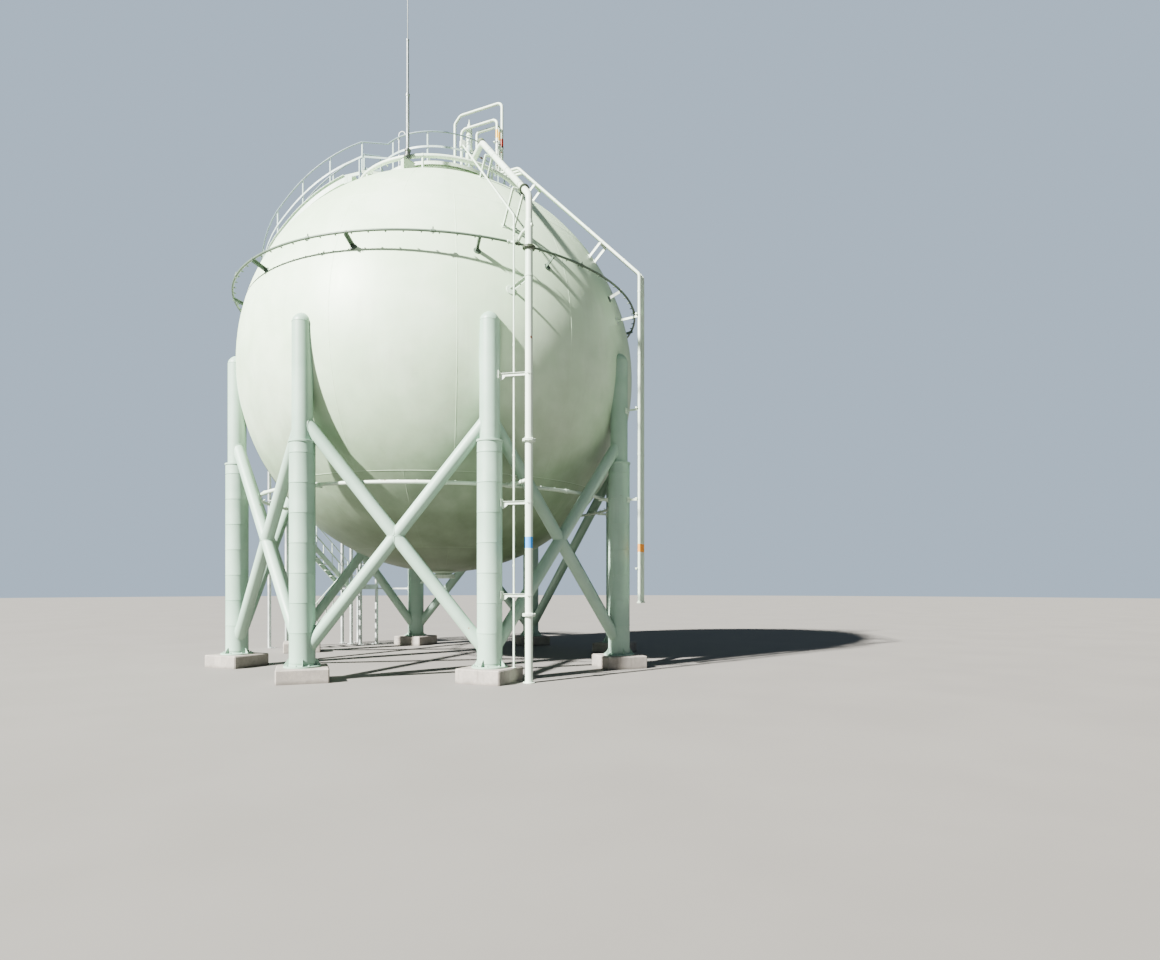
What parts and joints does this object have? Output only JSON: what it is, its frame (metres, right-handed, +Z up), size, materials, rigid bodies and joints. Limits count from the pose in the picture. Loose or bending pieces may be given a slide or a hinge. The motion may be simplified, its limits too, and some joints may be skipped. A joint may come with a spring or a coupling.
{
  "type": "spherical gas tank",
  "caption": "Spherical storage tank on braced pipe columns with spray rings, riser, relief pipes, top platform, lightning rod and access stair.",
  "frame": {"origin": "middle of the footprint's box at ground level; the tank's own axis stands at x +0.5650 m, y -0.1733 m", "axes": "+Z up; -Y is the side that faces the picture, +X is to its right"},
  "size_m": [14.1822, 13.399, 19.9],
  "materials": {
    "celadon_paint": "satin",
    "concrete": "matte",
    "galvanised_steel": "satin"
  },
  "bodies": {
    "root": {"shell_top_crown": "celadon_paint", "shell_upper_belt": "celadon_paint", "shell_equator_belt": "celadon_paint", "shell_lower_belt": "celadon_paint", "shell_bottom_crown": "celadon_paint", "column_1": "celadon_paint", "plinth_1": "concrete", "brace_1": "celadon_paint", "column_2": "celadon_paint", "plinth_2": "concrete", "brace_2": "celadon_paint", "column_3": "celadon_paint", "plinth_3": "concrete", "brace_3": "celadon_paint", "column_4": "celadon_paint", "plinth_4": "concrete", "brace_4": "celadon_paint", "column_5": "celadon_paint", "plinth_5": "concrete", "brace_5": "celadon_paint", "column_6": "celadon_paint", "plinth_6": "concrete", "brace_6": "celadon_paint", "column_7": "celadon_paint", "plinth_7": "concrete", "brace_7": "celadon_paint", "column_8": "celadon_paint", "plinth_8": "concrete", "brace_8": "celadon_paint", "upper_spray_ring": "celadon_paint", "lower_spray_ring": "celadon_paint", "top_spray_ring": "celadon_paint", "water_riser": "celadon_paint", "conduit": "celadon_paint", "vent_pipe_gooseneck": "celadon_paint", "vent_pipe_middle": "celadon_paint", "vent_pipe_left": "celadon_paint", "platform_deck": "celadon_paint", "platform_railing": "galvanised_steel", "manhole": "celadon_paint", "relief_valve": "celadon_paint", "bottom_nozzle": "celadon_paint", "drain_pipe": "celadon_paint", "lightning_rod": "galvanised_steel", "upper_stair": "celadon_paint", "stair_tower_upper_stack": "galvanised_steel", "stair_tower_lower_stack": "galvanised_steel", "stair_tower_lower_stack_foot": "galvanised_steel", "stair_tower_flight_1": "celadon_paint", "stair_tower_flight_2": "celadon_paint", "stair_tower_flight_3": "celadon_paint", "stair_tower_flight_4": "celadon_paint", "upper_stair_outer_rail": "galvanised_steel", "upper_stair_inner_rail": "galvanised_steel"}
  },
  "joints": []
}
